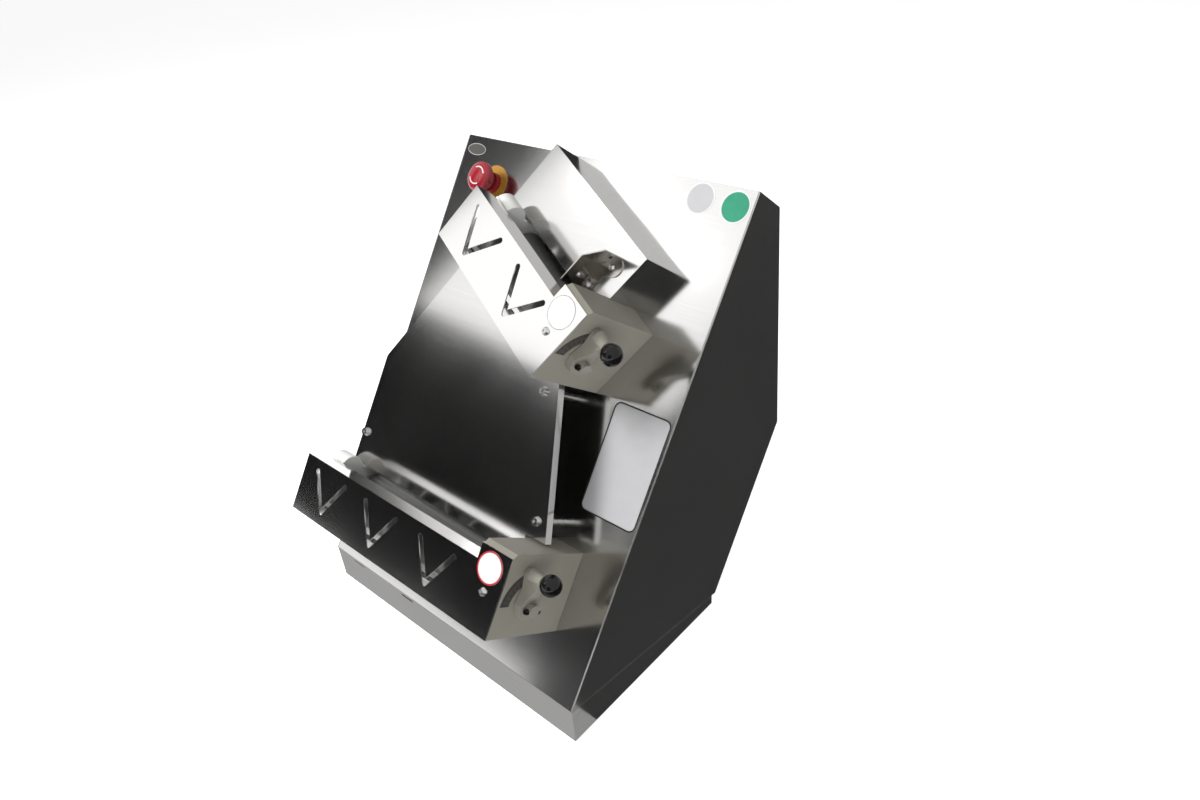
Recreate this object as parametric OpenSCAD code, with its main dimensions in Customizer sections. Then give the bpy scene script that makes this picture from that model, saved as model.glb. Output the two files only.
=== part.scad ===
// Countertop pizza dough roller: a sloping sheet-metal body carrying two sets of rollers.
// World frame in mm: X to the right, Y to the back, Z up, origin on the worktop between the feet.
// Panel frame: X as world, Y up the slope of the front panel, Z straight out of the panel.
// Upper set frame: the panel frame moved up the slope and turned about the panel's normal.

/* [Body] */
// Width of the body over the side panels
body_width = 470; // [460:2:480]
// Angle between the front panel and the vertical, degrees
panel_lean = 35.7; // [34.5:0.1:36.5]
// Length of the front panel along the slope
panel_length = 624; // [616:1:640]
// Depth of the top return folded back from the panel
top_return = 53.3; // [45:1:60]
// Height of the base tray at the front
base_height = 54.5; // [50:0.5:60]
// Depth of the base tray, front to back
base_depth = 283.7; // [276:1:286]
// Height of the rubber feet
foot_height = 8; // [6:0.5:12]
// Sheet thickness of the body and the guards
sheet = 1.5; // [1.2:0.1:1.8]

/* [Rollers] */
// Diameter of all four rollers
roller_diameter = 50; // [48:0.5:50.5]
// Gap between a pair of rollers when fully open
open_gap = 4; // [3.8:0.1:5]
// Distance the front roller closes over the lever's travel
gap_travel = 3.5; // [2:0.1:3.5]
// Width of the lower guard without its housing
lower_guard_width = 329.5; // [318:1:332]
// Width of the upper guard without its housing
upper_guard_width = 191.4; // [184:1:200]
// Tilt of the upper set, degrees, its right end down
upper_tilt = 29.6; // [28.5:0.1:30.5]

/* [Levers] */
// Distance from the lever's pivot to the middle of its knob
knob_radius = 43; // [40:0.5:45]
// Diameter of the ball knob
knob_diameter = 25; // [22:0.5:27]

/* [Stop button] */
// Diameter of the mushroom head
stop_diameter = 40; // [36:1:42]
// Distance the stop button can be pressed
stop_travel = 4.5; // [3:0.5:4.5]

/* [Hidden] */
$fn = 48;
eps = 0.01;
fit = 0.06;
free = 0.35;
half = body_width / 2;
roller_r = roller_diameter / 2;
housing_w = 46;
housing_h = 100;
housing_n = 124;
guard_h = 76;
guard_ext_h = 95;
rear_n = roller_r + 2;
front_n = rear_n + roller_diameter + open_gap;
upper_origin = 0.7 * panel_length;
chute_n = 50;
plate_n = 54;
journal_r = 6;
rest_angle = 70;
cam_slope = gap_travel / rest_angle;
belt_r = 2.5;
pulley_pitch = 16;
motor_n = -95;
lay_n = -110;
gland_in = 85;
estop_x = 75.8 - half;
estop_v = panel_length - 58.2;

// Positions that differ between the lower set (k = 0) and the upper set (k = 1)
function hs(k) = k == 0 ? half - 58.5 - housing_w : 96;
function gl(k) = hs(k) - (k == 0 ? lower_guard_width : upper_guard_width);
function t0(k) = k == 0 ? 74.2 : -13.8;
function ta(k) = t0(k) + 40;

// A point of the upper set frame given in the panel frame
function up(p, q) = [p * cos(upper_tilt) + q * sin(upper_tilt),
                     upper_origin - p * sin(upper_tilt) + q * cos(upper_tilt)];

// Side profile of the body in the panel frame, as distance up the slope and distance out
rear_top = [390, -254];
rear_low = [137, -260.7];
outline = [[0, 0], [panel_length, 0], [panel_length, -top_return], rear_top, rear_low];

// Corner i of the profile moved inward by d
function unit(a) = a / norm(a);
function edge_dir(i) = unit(outline[(i + 1) % 5] - outline[i % 5]);
function inset(i, d) = let (a = edge_dir(i + 4), b = edge_dir(i),
    na = [a[1], -a[0]], nb = [b[1], -b[0]], m = unit(na + nb))
    outline[i] + m * d / (m * na);

// Angle of the lower rear face against the panel
rear_tilt = atan2(rear_top[1] - rear_low[1], rear_top[0] - rear_low[0]);
mid_tilt = atan2(-top_return - rear_top[1], panel_length - rear_top[0]);

// Frames
module panel_frame() {
    translate([0, -base_depth / 2, foot_height + base_height])
        rotate([90 - panel_lean, 0, 0])
            children();
}

module set_frame(k) {
    panel_frame()
        if (k == 0) children();
        else translate([0, upper_origin, 0]) rotate([0, 0, -upper_tilt]) children();
}

module rear_frame() {
    panel_frame()
        translate([0, rear_low[0], rear_low[1]])
            rotate([rear_tilt + 180, 0, 0])
                children();
}

module mid_frame() {
    panel_frame()
        translate([0, rear_top[0], rear_top[1]])
            rotate([mid_tilt + 180, 0, 0])
                children();
}

// Block between two corners given as s, t and n limits
module block(s0, s1, t0, t1, n0, n1) {
    translate([s0, t0, n0])
        cube([s1 - s0, t1 - t0, n1 - n0]);
}

// Round bar along the roller direction
module rod(s0, s1, t, n, r) {
    translate([s0, t, n])
        rotate([0, 90, 0])
            cylinder(h = s1 - s0, r = r);
}

// Flat shape drawn in t and n, thick along the roller direction
module side_shape(s0, s1) {
    translate([s0, 0, 0])
        rotate([90, 0, 90])
            linear_extrude(s1 - s0)
                children();
}

// Base tray: folded wedge, open under the body
module base_tray() {
    y0 = -base_depth / 2;
    y1 = base_depth / 2;
    slope = (rear_low[0] * cos(panel_lean) + rear_low[1] * sin(panel_lean))
        / (rear_low[0] * sin(panel_lean) - rear_low[1] * cos(panel_lean));
    z0 = foot_height;
    z1 = foot_height + base_height;
    z2 = z1 + slope * base_depth;
    color([0.6, 0.6, 0.6])
        difference() {
            translate([-half, 0, 0])
                rotate([90, 0, 90])
                    linear_extrude(body_width)
                        polygon([[y0, z0], [y1, z0], [y1, z2], [y0, z1]]);
            translate([-half + sheet, 0, 0])
                rotate([90, 0, 90])
                    linear_extrude(body_width - 2 * sheet)
                        polygon([[y0 + sheet, z0 + sheet], [y1 - sheet, z0 + sheet],
                                 [y1 - sheet, z2 + 30], [y0 + sheet, z1 + 30]]);
            for (x = [-half + 40, -half + 150])
                translate([x, y0 - 1, z1 - 7])
                    cube([24, sheet + 2, 2]);
            for (x = [-1, 1])
                for (y = [-1, 1])
                    translate([x * (half - 30), y * (base_depth / 2 - 23), z0 - 1])
                        cylinder(h = 5, r = foot_neck + 0.1);
        }
}

// Hollow feet, so that the machine can be bolted to its worktop
foot_neck = 4;
foot_bore = 2.6;
module rubber_feet() {
    color([0.1, 0.1, 0.1])
        for (x = [-1, 1])
            for (y = [-1, 1])
                translate([x * (half - 30), y * (base_depth / 2 - 23), 0])
                    difference() {
                        union() {
                            cylinder(h = foot_height, r = 12);
                            translate([0, 0, foot_height - 1]) cylinder(h = sheet + 4, r = foot_neck);
                        }
                        translate([0, 0, -1]) cylinder(h = foot_height + 10, r = foot_bore);
                    }
}

// Openings through the panel behind a housing, for the gears and the belt
module panel_window(k) {
    block(hs(k) + 1, hs(k) + 41, ta(k) - 32, ta(k) + 32, -10, 10);
}

module front_panel() {
    color([0.75, 0.75, 0.75])
        panel_frame()
            difference() {
                side_shape(-half + sheet, half - sheet)
                    polygon([outline[0], outline[1], outline[2],
                             inset(2, sheet), inset(1, sheet), inset(0, sheet)]);
                panel_window(0);
                translate([0, upper_origin, 0])
                    rotate([0, 0, -upper_tilt])
                        panel_window(1);
                translate([estop_x, estop_v, -5]) cylinder(h = 10, r = 11);
            }
}

// Side panel with a folded lip behind the rear cover
module side_panel(x0) {
    lip = 16;
    x = x0 < 0 ? x0 + sheet : x0 - lip;
    down = edge_dir(3);
    g = sheet + 0.02;
    panel_frame() {
        side_shape(x0, x0 + sheet)
            polygon(outline);
        side_shape(x, x + lip)
            polygon([inset(3, g) + 4 * down, inset(4, g) - 6 * down,
                     inset(4, g + sheet) - 6 * down, inset(3, g + sheet) + 4 * down]);
    }
}

module left_side_panel() {
    color([0.5, 0.5, 0.5]) side_panel(-half);
}

module right_side_panel() {
    color([0.45, 0.45, 0.45]) side_panel(half - sheet);
}

module rear_cover() {
    color([0.6, 0.6, 0.6])
        difference() {
            panel_frame()
                side_shape(-half + sheet, half - sheet)
                    polygon([outline[2], outline[3], outline[4],
                             outline[4] + 9.5 * edge_dir(4), inset(4, sheet) + 8 * edge_dir(4),
                             inset(4, sheet), inset(3, sheet), inset(2, sheet)]);
            rear_frame()
                for (i = [0:6])
                    translate([-60, -(90 + 16 * i), -5])
                        cube([120, 4, 10]);
            rear_frame() {
                translate([gland_in - half, -60, -5]) cylinder(h = 10, r = 8.2);
                for (x = [-half + 10, half - 10])
                    for (v = [40, 130, 220])
                        translate([x, -v, -5]) cylinder(h = 10, r = 2);
            }
            mid_frame()
                for (x = [-half + 10, half - 10])
                    for (v = [80, 230])
                        translate([x, -v, -5]) cylinder(h = 10, r = 2);
        }
}

module pan_screw(r, h) {
    difference() {
        union() {
            cylinder(h = h, r1 = r, r2 = r * 0.62);
            translate([0, 0, -1.4]) cylinder(h = 1.5, r = r * 0.45);
        }
        translate([0, 0, h - 1.2]) cylinder(h = 2, r = r * 0.35, $fn = 6);
    }
}

module rear_cover_screws() {
    color([0.7, 0.7, 0.7]) {
        rear_frame()
            for (x = [-half + 10, half - 10])
                for (v = [40, 130, 220])
                    translate([x, -v, 0]) pan_screw(4, 2.6);
        mid_frame()
            for (x = [-half + 10, half - 10])
                for (v = [80, 230])
                    translate([x, -v, 0]) pan_screw(4, 2.6);
    }
}

// Box that carries the dough chute above the upper rollers
module chute_box() {
    p0 = -111.8;
    p1 = 98;
    q0 = 62.4;
    q1 = 147.8;
    color([0.8, 0.8, 0.8])
        set_frame(1)
            difference() {
                block(p0, p1, q0, q1, 0, chute_n);
                block(p0 + sheet, p1 - sheet, q0 - 1, q1 - sheet, -1, chute_n - sheet);
                translate(concat(foot_bolt, chute_n - 5)) cylinder(h = 10, r = 2.4);
            }
}

// Folded cheek that guides the dough into the upper rollers
cheek_p = 54;
cheek_bend = 101.6;
cheek_end = [74.3, 125.8];
cheek_top = 85.3;
cheek_screw = [78.4, 66];
foot_bolt = [71.2, 109.9];
foot_middle = [73, 112.6];
foot_radius = 12.2;

module cheek_wall_outline() {
    a = [cheek_p + sheet, cheek_bend];
    d = unit(cheek_end - a);
    out = [-d[1], d[0]] * sheet;
    polygon([[cheek_p, 63.9], [cheek_p + sheet, 63.9], a, cheek_end, cheek_end + out,
             a + out - d * (a[0] + out[0] - cheek_p) / d[0]]);
}

module cheek_foot_outline() {
    a = [cheek_p + sheet, cheek_bend];
    d = unit(cheek_end - a);
    polygon([[cheek_p, 64], [cheek_p + 16.7, 64], [cheek_p + 17, 96.3], foot_middle + [4, -11.6],
             foot_middle, a + d * 25, a - [0, 1], [cheek_p, cheek_bend - 1]]);
    intersection() {
        translate(foot_middle) circle(r = foot_radius);
        polygon([a - d * 10, a + d * 45, a + d * 45 + [30, 0], a - d * 10 + [45, 0]]);
    }
}

module chute_cheek() {
    color([0.3, 0.29, 0.27])
        set_frame(1)
            difference() {
                union() {
                    translate([0, 0, chute_n])
                        linear_extrude(cheek_top - chute_n) cheek_wall_outline();
                    translate([0, 0, chute_n]) linear_extrude(sheet) cheek_foot_outline();
                }
                translate(concat(foot_bolt, chute_n - 1)) cylinder(h = 5, r = 2.6);
                rod(cheek_p - 1, cheek_p + 3, cheek_screw[0], cheek_screw[1], 2.1);
            }
}

module chute_fasteners() {
    color([0.6, 0.6, 0.6])
        set_frame(1) {
            translate(concat(foot_bolt, chute_n + sheet)) pan_screw(4.6, 2.6);
            translate(concat(foot_bolt, chute_n - 6)) cylinder(h = 8, r = 2.3);
            translate(concat(cheek_p + sheet, cheek_screw))
                rotate([0, 90, 0]) pan_screw(3.8, 2.2);
            block(cheek_p + 2.2, cheek_p + 14.5, 71, 84, chute_n + sheet, chute_n + 2 * sheet);
            translate([cheek_p + 9, 75, chute_n + 2 * sheet - 0.1]) cylinder(h = 4, r = 4, $fn = 6);
        }
}

// Plate the dough slides down, from the upper rollers to the lower ones
plate_left = 40.2 - half;
plate_low = 149.6;
plate_step = 177.8;
function edge_x(v) = half - 19.4 - 0.321 * v;
function edge_hit() = let (d = 17 / cos(upper_tilt),
    v = (upper_origin - d - (half - 19.4) * tan(upper_tilt)) / (1 - 0.321 * tan(upper_tilt)))
    [edge_x(v), v];

module slide_plate() {
    left = plate_left;
    corner_v = upper_origin + (left * cos(upper_tilt) + 102) / sin(upper_tilt);
    e = edge_hit();
    color([0.7, 0.7, 0.7])
        panel_frame()
            difference() {
                union() {
                    translate([0, 0, plate_n - sheet])
                        linear_extrude(sheet)
                            polygon([[left, plate_low], [hs(0) - 2.5, plate_low],
                                     [hs(0) - 2.5, plate_step], [edge_x(plate_step), plate_step],
                                     e, up(92, -17), up(92, -6.2), up(-102, -6.2),
                                     [left, corner_v]]);
                    translate([0, 0, plate_n - 11])
                        linear_extrude(11)
                            polygon([[edge_x(plate_step), plate_step], e,
                                     e - [sheet, 0], [edge_x(plate_step) - sheet, plate_step]]);
                }
                for (b = plate_bolts())
                    translate([b[0], b[1], plate_n - 5]) cylinder(h = 10, r = 2.6);
            }
}

// Distances of the bolts in from the plate's edges
bolt_in_top = 21.281;
bolt_in_low = 16.8914;
bolt_in_left = 6.3;
function plate_bolts() = [[edge_x(339) - bolt_in_top, 339], [edge_x(196.6) - bolt_in_low, 196.6],
                          [plate_left + bolt_in_left, 192], up(-92, -30)];

module slide_plate_spacers() {
    color([0.35, 0.35, 0.35])
        panel_frame()
            for (b = plate_bolts())
                translate([b[0], b[1], 0]) cylinder(h = plate_n - sheet, r = 4.5);
}

module slide_plate_bolts() {
    color([0.7, 0.7, 0.7])
        panel_frame()
            for (b = plate_bolts())
                translate([b[0], b[1], plate_n]) {
                    difference() {
                        union() {
                            cylinder(h = 1, r = 6);
                            cylinder(h = 4.5, r = 4.6);
                        }
                        translate([0, 0, 2.2]) cylinder(h = 4, r = 2.3, $fn = 6);
                    }
                    translate([0, 0, -sheet]) cylinder(h = sheet + 0.5, r = 2.5);
                }
}

// Guard over a pair of rollers
module v_arm(len) {
    w = 3.4;
    translate([-w, 0, -5]) cube([2 * w, len, 10]);
    translate([0, 0, -5]) cylinder(h = 10, r = w);
    translate([0, len, -5]) cylinder(h = 10, r = w);
}

module v_slot() {
    rotate([0, 0, 32]) v_arm(54);
    rotate([0, 0, -33.5]) v_arm(55);
}

module guard(k) {
    a = gl(k);
    h = hs(k);
    b = t0(k);
    n1 = housing_n + sheet;
    slots = k == 0 ? [57, 159.7, 265.9] : [51.5, 154.6];
    set_frame(k)
        difference() {
            union() {
                block(a, h, b, b + guard_h, housing_n, n1);
                block(h - 1, h + housing_w, b, b + guard_ext_h, housing_n, n1);
                translate([0, b + guard_h, 0])
                    rotate([90, 0, 0])
                        linear_extrude(sheet)
                            polygon([[a, n1], [h, n1], [h, n1 - 31], [a + 12, n1 - 31], [a, n1 - 18]]);
                block(a, a + sheet, b, b + guard_h, n1 - 18, n1);
            }
            for (x = slots)
                translate([a + x, b + 15.5, housing_n]) v_slot();
            translate([h + 21.5, b + 46, housing_n - 5]) cylinder(h = 10, r = 2.6);
            for (t = [18, 58])
                rod(a - 2, a + 4, b + t, housing_n - 7, 2.1);
        }
}

module guard_screws() {
    color([0.7, 0.7, 0.7])
        for (k = [0, 1])
            set_frame(k) {
                translate([hs(k) + 21.5, t0(k) + 46, housing_n + sheet]) {
                    pan_screw(5, 3.6);
                    translate([0, 0, -sheet - 6]) cylinder(h = 7.5, r = 2.5);
                }
                for (t = [18, 58])
                    translate([gl(k), t0(k) + t, housing_n - 7]) {
                        rotate([0, -90, 0]) pan_screw(3.6, 2.2);
                        rotate([0, 90, 0]) translate([0, 0, -0.5]) cylinder(h = 6, r = 2);
                    }
            }
}

// Moulded housing that hides the gears, the cam and the slide at the right end
module housing(k) {
    h = hs(k);
    b = t0(k);
    w = 3;
    set_frame(k)
        difference() {
            union() {
                difference() {
                    side_shape(h, h + housing_w)
                        polygon([[b, 0], [b, housing_n], [b + housing_h - 5, housing_n],
                                 [b + housing_h, housing_n - 5], [b + housing_h, 0]]);
                    side_shape(h + w, h + housing_w - w)
                        polygon([[b + w, -1], [b + w, housing_n - w],
                                 [b + housing_h - 5 - w / 2, housing_n - w],
                                 [b + housing_h - w, housing_n - 5 - w / 2],
                                 [b + housing_h - w, -1]]);
                    block(h - 1, h + w + 1, b + 5, b + 71, -1, 117);
                    if (k == 1) block(h - 1, h + 2.3, b + 75.9, b + 101, -1, chute_n + 0.3);
                }
                block(h + 13.5, h + 25, b + 1, b + 5.6, 40, housing_n - 1);
                block(h + 13.5, h + 25, ta(k) + 13.4, ta(k) + 19, 40, housing_n - 1);
                block(h + 13.5, h + 25, b + 5, ta(k) + 14, 40, 46);
                rod(h + 35, h + housing_w - 1, ta(k), front_n, 10);
                translate([h + 21.5, b + 46, housing_n - 14]) cylinder(h = 13, r = 5);
            }
            rod(h + 30, h + housing_w + 5, ta(k), front_n, 5 + fit);
            translate([h + 21.5, b + 46, housing_n - 8.5]) cylinder(h = 10, r = 2.5);
            rod(h + 10, h + 30, ta(k) + 26, -60, 3);
        }
}

// Dial plate beside the lever
dial_outer = 39;
dial_inner = 25;

module dial(k) {
    h = hs(k) + housing_w;
    a0 = -2;
    a1 = 68;
    set_frame(k)
        side_shape(h, h + 0.5)
            translate([ta(k), front_n])
                polygon(concat(
                    [for (a = [a0:7:a1]) [dial_outer * sin(a), dial_outer * cos(a)]],
                    [for (a = [a1:-7:a0]) [dial_inner * sin(a), dial_inner * cos(a)]]));
}

// White plastic block at the left end, with the slide's pocket and the rear roller's bore
module end_block(k) {
    a = gl(k) + sheet;
    a1 = gl(k) + 28.6;
    b = t0(k);
    c = ta(k);
    set_frame(k)
        difference() {
            union() {
                side_shape(a, a1)
                    polygon([[b + 9, 0], [b + 73, 0], [b + 73, housing_n - 1], [b + 2, housing_n - 1],
                             [b + 2, 57], [b + 9, 57]]);
                block(a, a1, b + 60, b + 76, 57, 91);
                rod(a, a1, b + 69, 74, 17);
            }
            block(a1 - 15, a1 + 1, c - 34.4, c + 13.4, front_n - 15 - gap_travel - 0.6,
                  front_n + 25.4);
            rod(a1 - 14, a1 + 1, c, rear_n, 8);
            rod(a1 - 24, a1 - 5, c, rear_n, 6.6);
            translate([a1 - 7, c - 19, 44]) cylinder(h = 30, r = 4.7);
            for (t = [18, 58])
                rod(a - 2, a + 5, b + t, housing_n - 7, 2);
        }
}

// Steel plate between the rollers and the housing
module side_plate(k) {
    h = hs(k);
    c = ta(k);
    b = t0(k);
    set_frame(k)
        difference() {
            union() {
                block(h - 4, h, b + 9, b + 73, 0, 122);
                block(h - 4, h, b + 3, b + 10, 60, 122);
                block(h - 22, h - 4 + eps, b + 9, b + 73, 0, 1.4);
            }
            rod(h - 6, h + 2, c, rear_n, 8);
            rod(h - 6, h + 2, c, front_n, journal_r + 0.7);
            rod(h - 6, h + 2, c, front_n - gap_travel - 0.4, journal_r + 0.7);
            block(h - 6, h + 2, c - journal_r - 0.7, c + journal_r + 0.7,
                  front_n - gap_travel - 0.4, front_n);
            rod(h - 6, h + 2, c - 29, front_n + 20, 4.6);
            rod(h - 6, h + 2, c - 29, front_n + 20 - gap_travel, 4.6);
            block(h - 6, h + 2, c - 33.6, c - 24.4, front_n + 20 - gap_travel, front_n + 20);
        }
}

module roller_bushes() {
    color([0.7, 0.55, 0.3])
        for (k = [0, 1])
            set_frame(k) {
                difference() {
                    rod(gl(k) + 15, gl(k) + 28.6, ta(k), rear_n, 8);
                    rod(gl(k) + 10, gl(k) + 30, ta(k), rear_n, journal_r + fit);
                }
                difference() {
                    rod(hs(k) - 4, hs(k) + 1, ta(k), rear_n, 8);
                    rod(hs(k) - 6, hs(k) + 3, ta(k), rear_n, journal_r + fit);
                }
            }
}

// Coil spring along the closing direction, as a swept wire
module coil(len, turns, r, wire) {
    m = 10;
    c = 6;
    steps = m * turns;
    pts = [for (i = [0:steps]) for (j = [0:c - 1])
        let (a = 360 * i / m, z = wire + (len - 2 * wire) * i / steps, f = 360 * j / c)
        [(r + wire * cos(f)) * cos(a), (r + wire * cos(f)) * sin(a), z + wire * sin(f)]];
    sides = [for (i = [0:steps - 1]) for (j = [0:c - 1])
        [i * c + j, i * c + (j + 1) % c, (i + 1) * c + (j + 1) % c, (i + 1) * c + j]];
    polyhedron(points = pts,
               faces = concat(sides, [[for (j = [0:c - 1]) c - 1 - j]],
                              [[for (j = [0:c - 1]) steps * c + j]]));
}

module springs(k) {
    set_frame(k) {
        translate([gl(k) + 21.6, ta(k) - 19, 44.05])
            coil(front_n - 15 + 6 - 44.1, 6, 3.2, 0.6);
        translate([hs(k) + 19, ta(k) - 19, 46.05])
            coil(front_n - 21 + 6 - 46.1, 5, 3.2, 0.6);
    }
}

module rear_roller(k) {
    set_frame(k) {
        rod(gl(k) + 30, hs(k) - 4.6, ta(k), rear_n, roller_r);
        rod(gl(k) + 12, gl(k) + 31, ta(k), rear_n, journal_r);
        rod(hs(k) - 5, hs(k) + 40, ta(k), rear_n, journal_r);
    }
}

module front_roller(k) {
    set_frame(k) {
        rod(gl(k) + 30, hs(k) - 4.6, ta(k), front_n, roller_r);
        rod(gl(k) + 16, gl(k) + 31, ta(k), front_n, journal_r);
        rod(hs(k) - 5, hs(k) + 23.5, ta(k), front_n, journal_r);
    }
}

// Straight-sided spur gear with a long tooth, so it stays in mesh while the gap changes
gear_root = roller_r - 3.7;
gear_tip = roller_r + 3.4;
module gear(k, n, phase) {
    z = 16;
    set_frame(k)
        difference() {
            side_shape(hs(k) + 2, hs(k) + 12)
                translate([ta(k), n])
                    rotate(phase)
                        polygon([for (i = [0:z - 1]) for (e = [[-5.6, 0], [-2, 1], [2, 1], [5.6, 0]])
                            let (a = 360 * i / z + e[0], r = e[1] == 0 ? gear_root : gear_tip)
                            [r * cos(a), r * sin(a)]]);
            rod(hs(k) + 1, hs(k) + 13, ta(k), n, journal_r);
        }
}

// Grooved pulley with its middle at the origin and its axis along X
module pulley(bore) {
    rotate([0, 90, 0])
        rotate_extrude()
            polygon([[bore, -6], [18.5, -6], [18.5, -3.5], [13.1, -3.5],
                     [13.1, 3.5], [18.5, 3.5], [18.5, 6], [bore, 6]]);
}

module roller_pulley(k) {
    set_frame(k)
        translate([hs(k) + 32, ta(k), rear_n])
            pulley(journal_r);
}

// Round belt cord from point a to point b
module cord(a, b, r) {
    d = b - a;
    len = norm(d);
    translate(a)
        rotate([0, acos(d[2] / len), atan2(d[1], d[0])])
            cylinder(h = len, r = r);
}

// Half loop of belt around a pulley at the origin, on the +Z side
module half_loop() {
    rotate([90, 0, 90])
        rotate_extrude(angle = 180)
            translate([pulley_pitch, 0])
                circle(r = belt_r);
}

// Belt from a pulley at the origin to one at distance len along -Z, turned by twist
module belt(len, twist) {
    half_loop();
    translate([0, 0, -len]) rotate([0, 0, twist]) rotate([180, 0, 0]) half_loop();
    e = twist == 0 ? 0 : 0.5;
    for (s = [-1, 1])
        cord([0, s * pulley_pitch, e],
             [-s * pulley_pitch * sin(twist), s * pulley_pitch * cos(twist), -len - e],
             twist == 0 ? belt_r : belt_r - 0.06);
}

lay = up(hs(1) + 32, ta(1));
mid_x = lay[0] + 23;

module lower_belt() {
    color([0.12, 0.12, 0.12])
        panel_frame()
            translate([hs(0) + 32, ta(0), rear_n])
                belt(rear_n - motor_n, 0);
}

module middle_belt() {
    d = [lay[1] - ta(0), lay_n - motor_n];
    color([0.12, 0.12, 0.12])
        panel_frame()
            translate([mid_x, ta(0), motor_n])
                rotate([atan2(d[0], -d[1]), 0, 0])
                    belt(norm(d), 0);
}

module upper_belt() {
    color([0.12, 0.12, 0.12])
        set_frame(1)
            translate([hs(1) + 32, ta(1), rear_n])
                belt(rear_n - lay_n, upper_tilt);
}

module drive_shaft() {
    color([0.6, 0.6, 0.6])
        panel_frame()
            difference() {
                union() {
                    rod(mid_x - 55, hs(0) + 39, ta(0), motor_n, journal_r);
                    translate([hs(0) + 32, ta(0), motor_n]) pulley(journal_r - 1);
                    translate([mid_x, ta(0), motor_n]) pulley(journal_r - 1);
                }
                rod(hs(0) + 33, hs(0) + 45, ta(0), motor_n, 2);
            }
}

module layshaft() {
    color([0.6, 0.6, 0.6])
        panel_frame() {
            rod(lay[0] - 24, mid_x + 18, lay[1], lay_n, journal_r);
            translate([lay[0], lay[1], lay_n]) pulley(journal_r - 1);
            translate([mid_x, lay[1], lay_n]) pulley(journal_r - 1);
        }
}

module lay_bracket(x, s) {
    difference() {
        union() {
            block(x, x + 4, lay[1] - 20, lay[1] + 20, lay_n, -sheet);
            rod(x, x + 4, lay[1], lay_n, 20);
            block(s < 0 ? x - 16 : x, s < 0 ? x + 4 : x + 20, lay[1] - 20, lay[1] + 20,
                  -sheet - 3, -sheet);
        }
        rod(x - 1, x + 5, lay[1], lay_n, journal_r + fit);
    }
}

module layshaft_brackets() {
    color([0.4, 0.4, 0.42])
        panel_frame() {
            lay_bracket(lay[0] - 22, -1);
            lay_bracket(mid_x + 12, 1);
        }
}

module gear_motor() {
    color([0.25, 0.3, 0.35])
        panel_frame()
            difference() {
                union() {
                    rod(mid_x - 205, mid_x - 60, ta(0), motor_n, 38);
                    block(mid_x - 61, mid_x - 24, ta(0) - 35, ta(0) + 35,
                          motor_n - 35, motor_n + 35);
                    block(mid_x - 170, mid_x - 110, ta(0) + 30, ta(0) + 50,
                          motor_n - 20, motor_n + 20);
                }
                rod(mid_x - 57, mid_x - 20, ta(0), motor_n, journal_r + fit);
            }
}

module motor_bracket() {
    x = mid_x - 24;
    color([0.4, 0.4, 0.42])
        panel_frame()
            difference() {
                union() {
                    block(x, x + 4, ta(0) - 38, ta(0) + 46, motor_n - 38, -sheet);
                    block(x - 20, x + 4, ta(0) - 38, ta(0) + 46, -sheet - 3, -sheet);
                }
                rod(x - 1, x + 5, ta(0), motor_n, journal_r + 0.5);
            }
}

// Switch box on the floor of the tray
switch_in = 45;
switch_length = 130;
switch_depth = 76;

module switch_box() {
    left = switch_in - half;
    wall = 3;
    color([0.2, 0.2, 0.22])
        translate([left, 20, foot_height + sheet])
            difference() {
                cube([switch_length, switch_depth, 36]);
                translate([wall, wall, wall])
                    cube([switch_length - 2 * wall, switch_depth - 2 * wall, 30]);
            }
}

// Cable entry at the lower left of the rear cover
module cable_gland() {
    color([0.12, 0.12, 0.12])
        rear_frame()
            translate([gland_in - half, -60, 0])
                difference() {
                    union() {
                        translate([0, 0, -10]) cylinder(h = 12, r = 8);
                        cylinder(h = 5, r = 12, $fn = 6);
                        translate([0, 0, 5]) cylinder(h = 9, r = 10);
                        translate([0, 0, -sheet - 4]) cylinder(h = 4, r = 11.5, $fn = 6);
                    }
                    translate([0, 0, -12]) cylinder(h = 40, r = 4);
                }
}

// Pair of slide blocks joined by a tie bar, with the cam's follower pin
module carrier(k) {
    c = ta(k);
    a1 = gl(k) + 28;
    h = hs(k);
    set_frame(k)
        difference() {
            union() {
                block(a1 - 13, a1, c - 34, c + 13, front_n - 15, front_n + 25);
                block(h + 14, h + 24, c - 34, c + 13, front_n - 21, front_n + 25);
                rod(a1 - 5, h + 20, c - 29, front_n + 20, 4);
                rod(h + 23, h + 33, c, front_n - cam_reach - 3 - 0.25, 3);
            }
            rod(a1 - 20, a1 + 1, c, front_n, journal_r + fit);
            rod(h + 10, h + 25, c, front_n, journal_r + fit);
            translate([gl(k) + 21.6, c - 19, front_n - 20]) cylinder(h = 11, r = 4.7);
            translate([h + 19, c - 19, front_n - 26]) cylinder(h = 11, r = 4.7);
        }
}

// Lever with its shaft and the cam disc that pushes the slide
lever_rise = 24;
boss_top = 25.4;
screw_p = 13.6;
screw_q = -2;

module lever_outline() {
    polygon([[-14.4, -2], [-15.3, 9], [-11, 16], [-7.7, 20], [-5.5, 26], [-4.5, 38], [-3, 44],
             [1, 47], [5, 46.5], [8.5, 43], [11, 33], [13.5, 20], [15.6, 4], [14.4, -2]]);
}

module lever_finger() {
    intersection() {
        rotate([90, 0, 90]) linear_extrude(lever_rise + 1) lever_outline();
        translate([0, 20, 0])
            rotate([90, 0, 0])
                linear_extrude(40)
                    polygon([[0, -16], [8.4, -16], [8.7, 9], [lever_rise - 2, 38],
                             [lever_rise - 1, 48], [0, 48]]);
    }
}

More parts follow.
